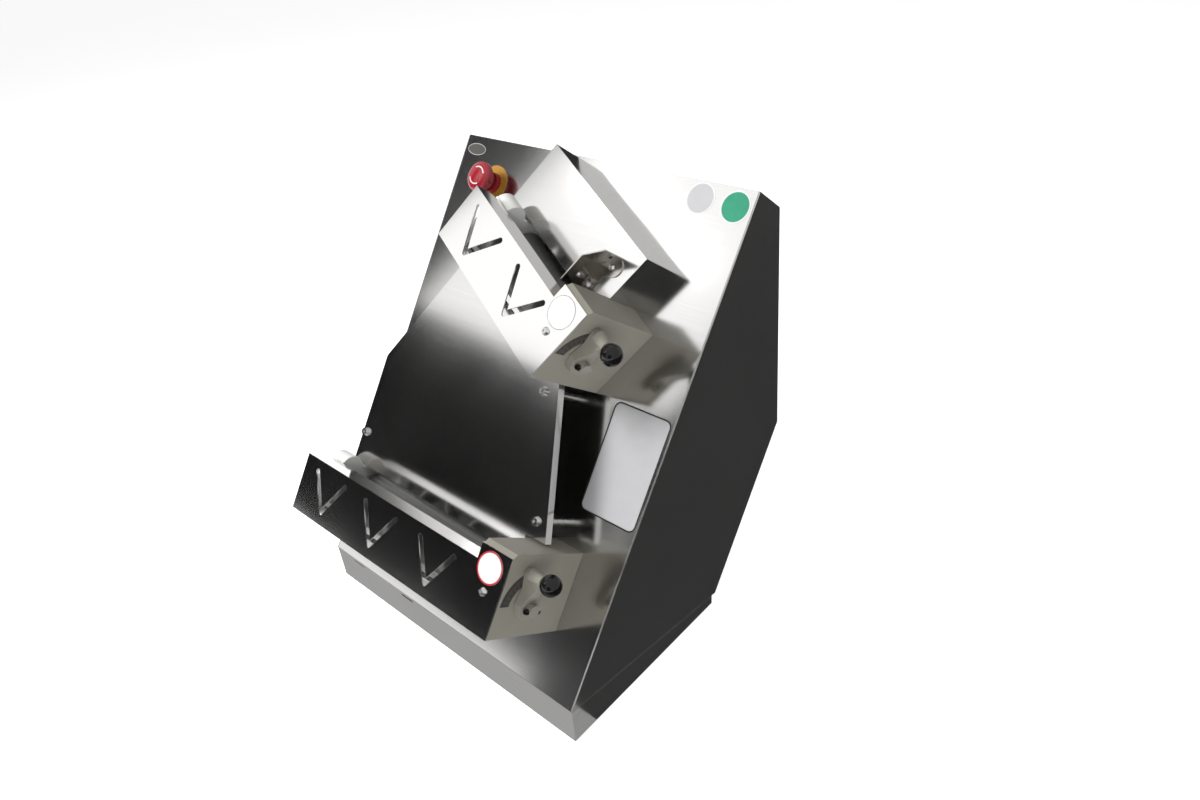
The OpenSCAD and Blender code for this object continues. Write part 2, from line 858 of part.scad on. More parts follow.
module lever(k) {
    c = ta(k);
    h = hs(k) + housing_w;
    set_frame(k)
        difference() {
            union() {
                rod(h + 0.4, h + 9.5, c, front_n, 15);
                rod(h + 9, h + 18, c, front_n, 7);
                translate([h + screw_p, c + screw_q, front_n - 8]) cylinder(h = 15.5, r = 4);
                translate([h + 0.9, c, front_n]) rotate([-rest_angle, 0, 0]) lever_finger();
                knob_place(k) translate([0, 0, 9]) cylinder(h = boss_top - 9, r1 = 8, r2 = 6);
                rod(h - 21, h + 1, c, front_n, 5);
                side_shape(h - 20, h - 13) translate([c, front_n]) cam_outline();
            }
            translate([h + screw_p, c + screw_q, front_n - 12]) cylinder(h = 24, r = 1.7);
            knob_place(k) translate([0, 0, boss_top - 9.5]) cylinder(h = 12, r = 2.6);
        }
}

// Cam whose radius over the follower pin grows by the gap's travel as the lever turns
cam_reach = 12.5;
module cam_outline() {
    low = cam_reach - 30 * cam_slope;
    polygon([for (i = [0:5:355])
        let (r = i > 250 ? low : low + cam_slope * min(i, 115))
        [r * cos(-60 - i), r * sin(-60 - i)]]);
}

module lever_screw(k) {
    set_frame(k)
        translate([hs(k) + housing_w + screw_p, ta(k) + screw_q, front_n]) {
            translate([0, 0, 7.5]) cylinder(h = 3.6, r1 = 3.4, r2 = 2.8);
            translate([0, 0, -13]) cylinder(h = 21, r = 1.65);
            translate([0, 0, -11.6]) rotate([0, 0, 30]) cylinder(h = 3.6, r = 4.3, $fn = 6);
        }
}

// Height above the housing as Z, on the axis of the ball knob
module knob_place(k) {
    translate([hs(k) + housing_w, ta(k) + knob_radius * sin(rest_angle),
               front_n + knob_radius * cos(rest_angle)])
        rotate([0, 90, 0])
            children();
}

module knob(k) {
    r = knob_diameter / 2;
    set_frame(k)
        knob_place(k)
            difference() {
                union() {
                    translate([0, 0, boss_top + r - 0.9]) sphere(r = r);
                    translate([0, 0, boss_top - 9]) cylinder(h = 12, r = 2.5);
                }
                difference() {
                    translate([-r, -r, boss_top - 2]) cube([2 * r, 2 * r, 2.02]);
                    translate([0, 0, boss_top - 3]) cylinder(h = 5, r = 2.5);
                }
            }
}

// Stop button
module estop_frame() {
    panel_frame()
        translate([estop_x, estop_v, 0])
            children();
}

module estop_legend_disc() {
    color([0.9, 0.75, 0.1])
        estop_frame()
            difference() {
                cylinder(h = 1, r = 24.5);
                translate([0, 0, -1]) cylinder(h = 3, r = 11);
            }
}

module estop_collar() {
    color([0.6, 0.08, 0.08])
        estop_frame()
            difference() {
                union() {
                    translate([0, 0, 1]) cylinder(h = 7, r1 = 14, r2 = 13);
                    translate([0, 0, -sheet - 4]) cylinder(h = sheet + 6, r = 10.95);
                }
                translate([0, 0, -10]) cylinder(h = 30, r = 8 + free);
            }
}

module estop_contact_block() {
    color([0.2, 0.2, 0.2])
        estop_frame()
            difference() {
                translate([-15, -15, -48]) cube([30, 30, 48 - sheet - 4]);
                translate([0, 0, -44]) cylinder(h = 60, r = 8 + free);
            }
}

module estop_stem() {
    color([0.3, 0.3, 0.3])
        estop_frame() {
            translate([0, 0, -44 + stop_travel + 1]) cylinder(h = 44 - stop_travel - 1 + 13, r = 8);
            translate([0, 0, 12]) cylinder(h = 14, r = 5);
        }
}

module estop_button() {
    r = stop_diameter / 2;
    color([0.8, 0.05, 0.05])
        estop_frame()
            difference() {
                union() {
                    translate([0, 0, 13.4]) cylinder(h = 9, r = 12.5);
                    translate([0, 0, 22])
                        rotate_extrude()
                            polygon(concat([[0, 0], [r - 1.5, 0], [r, 1.5]],
                                [for (a = [0:10:90]) [r * cos(a), 6.5 + 6.5 * sin(a)]]));
                }
                translate([0, 0, 12]) cylinder(h = 14.1, r = 5 + fit);
            }
}

// The two sets
module lower_guard() { color([0.2, 0.2, 0.2]) guard(0); }
module lower_housing() { color([0.53, 0.51, 0.47]) housing(0); }
module lower_dial() { color([0.3, 0.3, 0.3]) dial(0); }
module lower_end_block() { color([0.92, 0.92, 0.9]) end_block(0); }
module lower_side_plate() { color([0.6, 0.6, 0.6]) side_plate(0); }
module lower_springs() { color([0.5, 0.5, 0.5]) springs(0); }
module lower_rear_roller() { color([0.9, 0.9, 0.88]) rear_roller(0); }
module lower_rear_gear() { color([0.3, 0.3, 0.3]) gear(0, rear_n, 11.25 - 90); }
module lower_pulley() { color([0.5, 0.5, 0.5]) roller_pulley(0); }
module lower_front_roller() { color([0.9, 0.9, 0.88]) front_roller(0); }
module lower_front_gear() { color([0.3, 0.3, 0.3]) gear(0, front_n, -90); }
module lower_carrier() { color([0.55, 0.55, 0.55]) carrier(0); }
module lower_lever() { color([0.53, 0.51, 0.47]) lever(0); }
module lower_knob() { color([0.05, 0.05, 0.05]) knob(0); }
module lower_lever_screw() { color([0.2, 0.2, 0.2]) lever_screw(0); }
module upper_guard() { color([0.8, 0.8, 0.8]) guard(1); }
module upper_housing() { color([0.53, 0.51, 0.47]) housing(1); }
module upper_dial() { color([0.3, 0.3, 0.3]) dial(1); }
module upper_end_block() { color([0.92, 0.92, 0.9]) end_block(1); }
module upper_side_plate() { color([0.6, 0.6, 0.6]) side_plate(1); }
module upper_springs() { color([0.5, 0.5, 0.5]) springs(1); }
module upper_rear_roller() { color([0.9, 0.9, 0.88]) rear_roller(1); }
module upper_rear_gear() { color([0.3, 0.3, 0.3]) gear(1, rear_n, 11.25 - 90); }
module upper_pulley() { color([0.5, 0.5, 0.5]) roller_pulley(1); }
module upper_front_roller() { color([0.9, 0.9, 0.88]) front_roller(1); }
module upper_front_gear() { color([0.3, 0.3, 0.3]) gear(1, front_n, -90); }
module upper_carrier() { color([0.55, 0.55, 0.55]) carrier(1); }
module upper_lever() { color([0.53, 0.51, 0.47]) lever(1); }
module upper_knob() { color([0.05, 0.05, 0.05]) knob(1); }
module upper_lever_screw() { color([0.2, 0.2, 0.2]) lever_screw(1); }

base_tray();
rubber_feet();
front_panel();
left_side_panel();
right_side_panel();
rear_cover();
rear_cover_screws();
chute_box();
chute_cheek();
chute_fasteners();
slide_plate();
slide_plate_spacers();
slide_plate_bolts();
guard_screws();
roller_bushes();
estop_legend_disc();
estop_collar();
estop_contact_block();
estop_stem();
estop_button();
cable_gland();
gear_motor();
motor_bracket();
switch_box();
layshaft_brackets();
layshaft();
drive_shaft();
lower_belt();
middle_belt();
upper_belt();
lower_guard();
lower_housing();
lower_dial();
lower_end_block();
lower_side_plate();
lower_springs();
lower_rear_roller();
lower_rear_gear();
lower_pulley();
lower_front_roller();
lower_front_gear();
lower_carrier();
lower_lever();
lower_knob();
lower_lever_screw();
upper_guard();
upper_housing();
upper_dial();
upper_end_block();
upper_side_plate();
upper_springs();
upper_rear_roller();
upper_rear_gear();
upper_pulley();
upper_front_roller();
upper_front_gear();
upper_carrier();
upper_lever();
upper_knob();
upper_lever_screw();
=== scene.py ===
"""Looks of a countertop pizza dough roller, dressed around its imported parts.

Lengths in the comments and in the named sizes are millimetres; the scene itself is in metres.
The panel frame has X to the right, Y up the slope of the front panel and Z straight out of it.
"""

import math

import bmesh
import bpy
from mathutils import Matrix, Vector


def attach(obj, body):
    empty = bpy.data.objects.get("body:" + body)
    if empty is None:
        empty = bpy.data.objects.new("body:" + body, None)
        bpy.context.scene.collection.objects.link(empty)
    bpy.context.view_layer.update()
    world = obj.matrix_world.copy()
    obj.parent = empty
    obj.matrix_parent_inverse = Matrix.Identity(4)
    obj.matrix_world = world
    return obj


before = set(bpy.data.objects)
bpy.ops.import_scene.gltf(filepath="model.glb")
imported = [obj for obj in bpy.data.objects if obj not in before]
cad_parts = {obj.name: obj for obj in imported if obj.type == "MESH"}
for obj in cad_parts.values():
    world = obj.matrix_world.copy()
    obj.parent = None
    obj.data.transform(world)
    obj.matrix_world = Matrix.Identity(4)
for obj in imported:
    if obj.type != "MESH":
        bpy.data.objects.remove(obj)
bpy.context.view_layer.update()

# Sizes that repeat the solids' own
MM = 0.001
PANEL_LEAN = 35.7
UPPER_TILT = 29.6
PANEL_FOOT = (0.0, -141.85, 62.5)
UPPER_ORIGIN = 436.8
HOUSING_WIDTH = 46.0
HOUSING_DEPTH = 124.0
FRONT_AXIS = 81.0
LEVER_SCREW_HEAD = 4.0
STOP_PLACE = (-159.2, 565.8, 0)
STOP_RIM = 28.5
STOP_RADIUS = 20.0
STOP_DOME = 6.5
GUARD_SHEET = 1.5
LOWER = {"name": "lower", "side": 130.5, "low": 74.2, "axis": 114.2}
UPPER = {"name": "upper", "side": 96.0, "low": -13.8, "axis": 26.2}

panel_frame = (Matrix.Diagonal((MM, MM, MM, 1.0)) @ Matrix.Translation(PANEL_FOOT)
               @ Matrix.Rotation(math.radians(90 - PANEL_LEAN), 4, "X"))
upper_frame = (panel_frame @ Matrix.Translation((0, UPPER_ORIGIN, 0))
               @ Matrix.Rotation(math.radians(-UPPER_TILT), 4, "Z"))
SET_FRAMES = {"lower": panel_frame, "upper": upper_frame}

# Sizes of the added films, marks and edges
FILM_HEIGHT = 0.2
DIAL_START = 1.0
TICK_COUNT = 19
TICK_STEP = 3.6
TICK_REACH = 38.2
NUMBER_STEP = 10.8
NUMBER_REACH = 29.6
NUMBER_HEIGHT = 6.4
ARC_INNER = 10.7
ARC_OUTER = 12.3
ARC_LIFT = 0.15
WELD_DISTANCE = 0.02
FLAT_ANGLE = math.radians(0.2)
SMOOTH_ANGLE = math.radians(32)
ROUNDED_ANGLE = math.radians(35)
LARGE_ROUNDING = 1.5


def turned_to(direction, at):
    """Matrix that stands a shape drawn on XY at a point, its Z along a direction."""
    turn = Vector(direction).to_track_quat("Z", "Y").to_matrix().to_4x4()
    return Matrix.Translation(at) @ turn


# Camera
def place_camera():
    """Camera that matches the photograph's view."""
    camera_data = bpy.data.cameras.new("photo_camera")
    camera_data.sensor_width = 36.0
    camera_data.lens = 25.46
    camera_data.shift_x = 0.00987
    camera_data.shift_y = 0.02214
    camera_data.clip_end = 50.0
    camera = bpy.data.objects.new("photo_camera", camera_data)
    right = Vector((0.74785, 0.66012, -0.07043))
    up = Vector((-0.32957, 0.46126, 0.82378))
    back = Vector((0.57629, -0.59285, 0.56251))
    turn = Matrix((right, up, back)).transposed().to_4x4()
    camera.matrix_world = Matrix.Translation((0.70659, -0.55957, 0.88792)) @ turn
    bpy.context.scene.collection.objects.link(camera)
    bpy.context.scene.camera = camera


# Materials
PATTERN_DARK = 0.3
PATTERN_BRIGHT = 0.7


def material(name):
    """New material with its node tree's parts and its shader."""
    made = bpy.data.materials.new(name)
    made.use_nodes = True
    nodes = made.node_tree.nodes
    shader = nodes["Principled BSDF"]
    return made, nodes, made.node_tree.links, shader


def calculate(nodes, links, operation, first, second):
    """Number worked out from a socket and a second socket or a plain number."""
    made = nodes.new("ShaderNodeMath")
    made.operation = operation
    links.new(first, made.inputs[0])
    if isinstance(second, float):
        made.inputs[1].default_value = second
    else:
        links.new(second, made.inputs[1])
    return made.outputs[0]


def object_coordinates(nodes, links, scale=(1, 1, 1), turn=(0, 0, 0)):
    """Object coordinates, scaled and turned, as a socket for a pattern."""
    source = nodes.new("ShaderNodeTexCoord")
    mapping = nodes.new("ShaderNodeMapping")
    mapping.inputs["Scale"].default_value = scale
    mapping.inputs["Rotation"].default_value = [math.radians(a) for a in turn]
    links.new(source.outputs["Object"], mapping.inputs["Vector"])
    return mapping.outputs["Vector"]


def noise(nodes, links, vector, scale, detail=4.0):
    """Cloudy pattern from 0 to 1."""
    made = nodes.new("ShaderNodeTexNoise")
    made.inputs["Scale"].default_value = scale
    made.inputs["Detail"].default_value = detail
    made.inputs["Roughness"].default_value = 0.55
    links.new(vector, made.inputs["Vector"])
    return made.outputs["Fac"]


def spread(nodes, links, value, low, high):
    """Maps the middle of a pattern's range to low..high."""
    made = nodes.new("ShaderNodeMapRange")
    made.inputs["From Min"].default_value = PATTERN_DARK
    made.inputs["From Max"].default_value = PATTERN_BRIGHT
    made.inputs["To Min"].default_value = low
    made.inputs["To Max"].default_value = high
    links.new(value, made.inputs["Value"])
    return made.outputs["Result"]


def tint(nodes, links, value, first, second):
    """Blends from one colour to another over the middle of a pattern's range."""
    ramp = nodes.new("ShaderNodeValToRGB")
    ramp.color_ramp.elements[0].position = PATTERN_DARK
    ramp.color_ramp.elements[0].color = (*first, 1)
    ramp.color_ramp.elements[1].position = PATTERN_BRIGHT
    ramp.color_ramp.elements[1].color = (*second, 1)
    links.new(value, ramp.inputs["Fac"])
    return ramp.outputs["Color"]


def relief(nodes, links, shader, height, strength, distance):
    """Fine unevenness of the surface from a pattern."""
    bump = nodes.new("ShaderNodeBump")
    bump.inputs["Strength"].default_value = strength
    bump.inputs["Distance"].default_value = distance
    links.new(height, bump.inputs["Height"])
    links.new(bump.outputs["Normal"], shader.inputs["Normal"])


def satin_sheet(name, light, dark, roughness, turn=(54.3, 0, 0)):
    """Stainless sheet: hair-fine brush marks and slow cloudy changes in how blurred it mirrors."""
    made, nodes, links, shader = material(name)
    shader.inputs["Metallic"].default_value = 1.0
    marks = noise(nodes, links, object_coordinates(nodes, links, (9, 800, 800), turn), 1.0, 2.0)
    clouds = noise(nodes, links, object_coordinates(nodes, links, (6, 6, 6)), 1.0, 3.0)
    both = calculate(nodes, links, "ADD", marks, clouds)
    mean = calculate(nodes, links, "MULTIPLY", both, 0.5)
    links.new(tint(nodes, links, mean, dark, light), shader.inputs["Base Color"])
    links.new(spread(nodes, links, clouds, roughness - 0.015, roughness + 0.015),
              shader.inputs["Roughness"])
    return made


def turned_metal(name, light, dark, roughness):
    """Machined or plated metal with a fine irregular grain."""
    made, nodes, links, shader = material(name)
    shader.inputs["Metallic"].default_value = 1.0
    grain = noise(nodes, links, object_coordinates(nodes, links), 260.0, 4.0)
    links.new(tint(nodes, links, grain, dark, light), shader.inputs["Base Color"])
    links.new(spread(nodes, links, grain, roughness - 0.06, roughness + 0.1),
              shader.inputs["Roughness"])
    relief(nodes, links, shader, grain, 0.08, 0.0003)
    return made


def moulded(name, light, dark, roughness, grain_size=900.0, depth=0.12):
    """Moulded plastic, rubber or powder coat: pebbled surface with faint clouds of tone."""
    made, nodes, links, shader = material(name)
    grain = noise(nodes, links, object_coordinates(nodes, links), grain_size, 3.0)
    cloud = noise(nodes, links, object_coordinates(nodes, links), 7.0, 4.0)
    links.new(tint(nodes, links, cloud, dark, light), shader.inputs["Base Color"])
    links.new(spread(nodes, links, grain, roughness - 0.07, roughness + 0.07),
              shader.inputs["Roughness"])
    relief(nodes, links, shader, grain, depth, 0.0004)
    return made


def polished(name, colour, roughness, gloss):
    """Smooth glossy plastic with the faintest unevenness of its shine."""
    made, nodes, links, shader = material(name)
    cloud = noise(nodes, links, object_coordinates(nodes, links), 90.0, 3.0)
    darker = [0.8 * channel for channel in colour]
    links.new(tint(nodes, links, cloud, darker, colour), shader.inputs["Base Color"])
    links.new(spread(nodes, links, cloud, roughness - 0.02, roughness + 0.03),
              shader.inputs["Roughness"])
    shader.inputs["Specular IOR Level"].default_value = gloss
    return made


def screw_with_dark_head(name):
    """Cross screw of the levers: black head on the outer side, plated nut on the inner one."""
    made, nodes, links, shader = material(name)
    shader.inputs["Metallic"].default_value = 1.0
    source = nodes.new("ShaderNodeTexCoord")
    out = nodes.new("ShaderNodeVectorMath")
    out.operation = "DOT_PRODUCT"
    normal = panel_frame.to_3x3() @ Vector((0, 0, 1 / MM))
    out.inputs[1].default_value = normal
    links.new(source.outputs["Object"], out.inputs[0])
    edge = normal.dot(panel_frame @ Vector((0, 0, FRONT_AXIS + LEVER_SCREW_HEAD)))
    head = calculate(nodes, links, "GREATER_THAN", out.outputs["Value"], edge)
    links.new(tint(nodes, links, head, (0.42, 0.42, 0.41), (0.03, 0.03, 0.03)),
              shader.inputs["Base Color"])
    shader.inputs["Roughness"].default_value = 0.25
    return made


def printed(name, light, dark, roughness=0.35):
    """Printed film: an even colour with the slightest mottling."""
    made, nodes, links, shader = material(name)
    mottle = noise(nodes, links, object_coordinates(nodes, links), 60.0, 3.0)
    links.new(tint(nodes, links, mottle, dark, light), shader.inputs["Base Color"])
    links.new(spread(nodes, links, mottle, roughness - 0.01, roughness + 0.02),
              shader.inputs["Roughness"])
    return made


sheet_steel = satin_sheet("sheet_steel", (0.66, 0.655, 0.645), (0.60, 0.595, 0.585), 0.14)
side_steel = satin_sheet("side_steel", (0.62, 0.615, 0.605), (0.56, 0.555, 0.545), 0.21,
                         turn=(0, 0, 90))
guard_steel = satin_sheet("guard_steel", (0.69, 0.685, 0.675), (0.67, 0.665, 0.655), 0.1)
cheek_steel = satin_sheet("cheek_steel", (0.52, 0.50, 0.47), (0.40, 0.38, 0.35), 0.16)
shaft_steel = turned_metal("shaft_steel", (0.60, 0.60, 0.59), (0.46, 0.46, 0.45), 0.3)
screw_steel = turned_metal("screw_steel", (0.72, 0.72, 0.71), (0.56, 0.56, 0.55), 0.2)
bronze = turned_metal("bronze", (0.72, 0.50, 0.26), (0.58, 0.38, 0.18), 0.32)
zinc = turned_metal("zinc", (0.50, 0.51, 0.52), (0.38, 0.39, 0.40), 0.42)
housing_grey = moulded("housing_grey", (0.275, 0.262, 0.222), (0.235, 0.222, 0.185), 0.5)
lever_grey = moulded("lever_grey", (0.285, 0.272, 0.235), (0.245, 0.232, 0.195), 0.42)
block_white = moulded("block_white", (0.80, 0.80, 0.77), (0.72, 0.72, 0.69), 0.4, 400.0, 0.06)
# The white plastic rollers get a dark grey colour: painted shade for the shade they sit in under
# the guards and the slide plate.
roller_white = moulded("roller_white", (0.17, 0.17, 0.165), (0.14, 0.14, 0.135), 0.24, 500.0, 0.0)
knob_black = polished("knob_black", (0.006, 0.006, 0.006), 0.08, 0.3)
rubber_black = moulded("rubber_black", (0.03, 0.03, 0.03), (0.02, 0.02, 0.02), 0.7)
box_black = moulded("box_black", (0.04, 0.04, 0.04), (0.025, 0.025, 0.025), 0.5)
motor_paint = moulded("motor_paint", (0.05, 0.07, 0.09), (0.035, 0.05, 0.065), 0.4, 300.0)
stop_red = polished("stop_red", (0.28, 0.010, 0.020), 0.16, 0.5)
legend_yellow = printed("legend_yellow", (0.40, 0.20, 0.025), (0.34, 0.17, 0.02))
dial_dark = printed("dial_dark", (0.062, 0.060, 0.054), (0.052, 0.050, 0.045), 0.4)
label_pale = printed("label_pale", (0.42, 0.42, 0.43), (0.40, 0.40, 0.41), 0.3)
label_ink = printed("label_ink", (0.008, 0.008, 0.008), (0.005, 0.005, 0.005), 0.5)
label_green = printed("label_green", (0.015, 0.26, 0.14), (0.010, 0.20, 0.11), 0.3)
label_white = printed("label_white", (0.66, 0.66, 0.65), (0.62, 0.62, 0.61), 0.3)
label_grey = printed("label_grey", (0.20, 0.20, 0.20), (0.16, 0.16, 0.16), 0.3)
label_red = printed("label_red", (0.42, 0.02, 0.03), (0.34, 0.015, 0.02), 0.35)

NODE_LOOKS = {
    "base_tray": sheet_steel, "front_panel": sheet_steel, "left_side_panel": side_steel,
    "right_side_panel": side_steel, "rear_cover": side_steel, "chute_box": sheet_steel,
    "slide_plate": sheet_steel, "chute_cheek": cheek_steel, "rear_cover_screws": screw_steel,
    "chute_fasteners": screw_steel, "slide_plate_bolts": screw_steel, "guard_screws": screw_steel,
    "slide_plate_spacers": shaft_steel, "rubber_feet": rubber_black, "roller_bushes": bronze,
    "estop_legend_disc": legend_yellow, "estop_collar": stop_red, "estop_button": stop_red,
    "estop_contact_block": box_black, "estop_stem": box_black, "cable_gland": box_black,
    "gear_motor": motor_paint, "motor_bracket": zinc, "layshaft_brackets": zinc,
    "switch_box": box_black, "layshaft": shaft_steel, "drive_shaft": shaft_steel,
    "lower_belt": rubber_black, "middle_belt": rubber_black, "upper_belt": rubber_black,
}
SET_LOOKS = {
    "guard": guard_steel, "housing": housing_grey, "dial": dial_dark, "end_block": block_white,
    "side_plate": shaft_steel, "springs": shaft_steel, "rear_roller": roller_white,
    "front_roller": roller_white, "rear_gear": shaft_steel, "front_gear": shaft_steel,
    "pulley": shaft_steel, "carrier": shaft_steel, "lever": lever_grey, "knob": knob_black,
    "lever_screw": screw_with_dark_head("lever_screw_metal"),
}
for set_name in SET_FRAMES:
    for part, look in SET_LOOKS.items():
        NODE_LOOKS[f"{set_name}_{part}"] = look


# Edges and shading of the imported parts
def smooth_group():
    """Node group that smooths a mesh except over its sharp edges."""
    group = bpy.data.node_groups.new("smooth_over_soft_edges", "GeometryNodeTree")
    group.interface.new_socket("Geometry", in_out="INPUT", socket_type="NodeSocketGeometry")
    group.interface.new_socket("Geometry", in_out="OUTPUT", socket_type="NodeSocketGeometry")
    group.is_modifier = True
    nodes, links = group.nodes, group.links
    start = nodes.new("NodeGroupInput")
    end = nodes.new("NodeGroupOutput")
    angle = nodes.new("GeometryNodeInputMeshEdgeAngle")
    sharp = nodes.new("FunctionNodeCompare")
    sharp.operation = "GREATER_THAN"
    sharp.inputs["B"].default_value = SMOOTH_ANGLE
    links.new(angle.outputs["Unsigned Angle"], sharp.inputs["A"])
    faces = nodes.new("GeometryNodeSetShadeSmooth")
    faces.domain = "FACE"
    edges = nodes.new("GeometryNodeSetShadeSmooth")
    edges.domain = "EDGE"
    edges.inputs["Shade Smooth"].default_value = False
    links.new(start.outputs["Geometry"], faces.inputs["Geometry"])
    links.new(faces.outputs["Geometry"], edges.inputs["Geometry"])
    links.new(sharp.outputs["Result"], edges.inputs["Selection"])
    links.new(edges.outputs["Geometry"], end.inputs["Geometry"])
    return group


smoothing = smooth_group()
EDGE_ROUNDING = {"housing": 2.2, "end_block": 1.2, "lever": 1.4, "guard": 0.5, "side_plate": 0.5,
                 "knob": 0.4, "front_roller": 0.8, "rear_roller": 0.8, "carrier": 0.6}
SHEET_ROUNDING = 0.6
SHEETS = ("base_tray", "front_panel", "left_side_panel", "right_side_panel", "rear_cover",
          "chute_box", "slide_plate", "chute_cheek")


def finish_edges(piece, rounding):
    """Joins flat faces, rounds the edges and keeps the flats' shading flat."""
    weld = piece.modifiers.new("weld", "WELD")
    weld.merge_threshold = WELD_DISTANCE * MM
    flats = piece.modifiers.new("join_flats", "DECIMATE")
    flats.decimate_type = "DISSOLVE"
    flats.angle_limit = FLAT_ANGLE
    flats.delimit = {"MATERIAL"}
    if rounding:
        bevel = piece.modifiers.new("round_edges", "BEVEL")
        bevel.width = rounding * MM
        bevel.segments = 3 if rounding > LARGE_ROUNDING else 2
        bevel.limit_method = "ANGLE"
        bevel.angle_limit = ROUNDED_ANGLE
        bevel.use_clamp_overlap = True
    smooth = piece.modifiers.new("smooth", "NODES")
    smooth.node_group = smoothing
    flat = piece.modifiers.new("keep_flats_flat", "WEIGHTED_NORMAL")
    flat.mode = "FACE_AREA"
    flat.weight = 100
    flat.keep_sharp = True


def dress_nodes():
    """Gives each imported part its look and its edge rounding."""
    for name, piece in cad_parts.items():
        piece.data.materials.clear()
        piece.data.materials.append(NODE_LOOKS[name])
        short = name.split("_", 1)[1] if name.startswith(("lower_", "upper_")) else name
        rounding = EDGE_ROUNDING.get(short, 0.0)
        if name in SHEETS:
            rounding = SHEET_ROUNDING
        finish_edges(piece, rounding)


# New pieces
def into_scene(name, shape, looks):
    """Turns a shape into an object with its looks and links it to the scene."""
    data = bpy.data.meshes.new(name)
    shape.to_mesh(data)
    shape.free()
    for look in looks:
        data.materials.append(look)
    made = bpy.data.objects.new(name, data)
    bpy.context.scene.collection.objects.link(made)
    return made


def new_piece(name, shape, place, looks, body):
    """Turns a shape drawn in millimetres into a finished piece that rides on a body."""
    bmesh.ops.transform(shape, matrix=place, verts=shape.verts)
    bmesh.ops.recalc_face_normals(shape, faces=shape.faces)
    piece = into_scene(name, shape, looks)
    finish_edges(piece, 0.0)
    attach(piece, body)


def thickened(shape):
    """Gives a flat outline the thickness of a film."""
    raised = bmesh.ops.extrude_face_region(shape, geom=shape.faces[:])
    moved = [v for v in raised["geom"] if isinstance(v, bmesh.types.BMVert)]
    bmesh.ops.translate(shape, verts=moved, vec=(0, 0, FILM_HEIGHT))
    return shape


def round_film(radius):
    shape = bmesh.new()
    bmesh.ops.create_circle(shape, cap_ends=True, segments=64, radius=radius)
    return thickened(shape)


def top_faces(shape):
    """Faces that lie at the greatest height."""
    shape.faces.ensure_lookup_table()
    shape.normal_update()
    top = max(f.calc_center_median().z for f in shape.faces)
    return [f for f in shape.faces if abs(f.calc_center_median().z - top) < 1e-5]


def ring_of(shape, inset, index):
    """Insets the top by a width and gives the band around it a look."""
    made = bmesh.ops.inset_region(shape, faces=top_faces(shape), thickness=inset)
    for face in made["faces"]:
        face.material_index = index


def rounded_film(width, length, corner):
    shape = bmesh.new()
    bmesh.ops.create_grid(shape, x_segments=1, y_segments=1, size=0.5)
    bmesh.ops.scale(shape, vec=(width, length, 1), verts=shape.verts)
    bmesh.ops.bevel(shape, geom=shape.verts[:], offset=corner, segments=6, affect="VERTICES",
                    profile=0.5, material=-1)
    return thickened(shape)


def panel_labels():
    """Blank films on the front panel: two round ones, a bordered one and an oval."""
    for name, x, y, look in (("grey_round_film", 164.7, 603.5, label_pale),
                             ("green_round_film", 211.9, 602.0, label_green)):
        shape = round_film(18.5)
        ring_of(shape, 1.6, 1)
        new_piece(name, shape, panel_frame @ Matrix.Translation((x, y, 0)),
                  [look, label_white], "machine")
    shape = rounded_film(82, 136, 9)
    ring_of(shape, 1.5, 0)
    ring_of(shape, 2.0, 1)
    new_piece("bordered_film", shape, panel_frame @ Matrix.Translation((190, 289, 0)),
              [label_pale, label_ink], "machine")
    shape = round_film(13)
    bmesh.ops.scale(shape, vec=(1.35, 0.62, 1), verts=shape.verts)
    ring_of(shape, 0.8, 1)
    new_piece("oval_film", shape, panel_frame @ Matrix.Translation((-211, 606, 0)),
              [dial_dark, label_pale], "machine")


def guard_films():
    """Round blank films on the right end of each guard."""
    for part, rim, first, band in ((LOWER, label_red, 3.4, 2.0), (UPPER, label_grey, 0.05, 0.7)):
        shape = round_film(18.6)
        ring_of(shape, first, 0)
        ring_of(shape, band, 1)
        at = (part["side"] + 20.2, part["low"] + 73.0, HOUSING_DEPTH + GUARD_SHEET)
        new_piece(f"{part['name']}_guard_film", shape,
                  SET_FRAMES[part["name"]] @ Matrix.Translation(at),
                  [label_white, rim], "machine")


def dial_marks():
    """Tick marks along each dial, with plain numbers 0 to 6 inside them."""
    for part in (LOWER, UPPER):
        shape = bmesh.new()
        for step in range(TICK_COUNT):
            angle = DIAL_START + TICK_STEP * step
            length = 4.0 if step % 3 == 0 else 2.2
            made = bmesh.ops.create_cube(shape, size=1.0)["verts"]
            bmesh.ops.scale(shape, vec=(0.2, 0.8, length), verts=made)
            bmesh.ops.translate(shape, vec=(0, 0, TICK_REACH - length / 2), verts=made)
            bmesh.ops.rotate(shape, verts=made, cent=(0, 0, 0),
                             matrix=Matrix.Rotation(math.radians(-angle), 3, "X"))
        at = (part["side"] + HOUSING_WIDTH + 0.5, part["axis"], FRONT_AXIS)
        place = SET_FRAMES[part["name"]] @ Matrix.Translation(at)
        new_piece(f"{part['name']}_dial_marks", shape, place, [label_ink], "machine")
        numbers = bmesh.new()
        for figure in range(7):
            turn = math.radians(DIAL_START + NUMBER_STEP * figure)
            flat = plain_number(str(figure))
            out = (0, math.sin(turn) * NUMBER_REACH, math.cos(turn) * NUMBER_REACH)
            flat.transform(Matrix.Translation(out)
                           @ Matrix.Rotation(-turn, 4, "X")
                           @ Matrix.Rotation(math.radians(90), 4, "Z")
                           @ Matrix.Rotation(math.radians(90), 4, "X"))
            numbers.from_mesh(flat)
            bpy.data.meshes.remove(flat)
        new_piece(f"{part['name']}_dial_numbers", numbers, place, [label_ink], "machine")


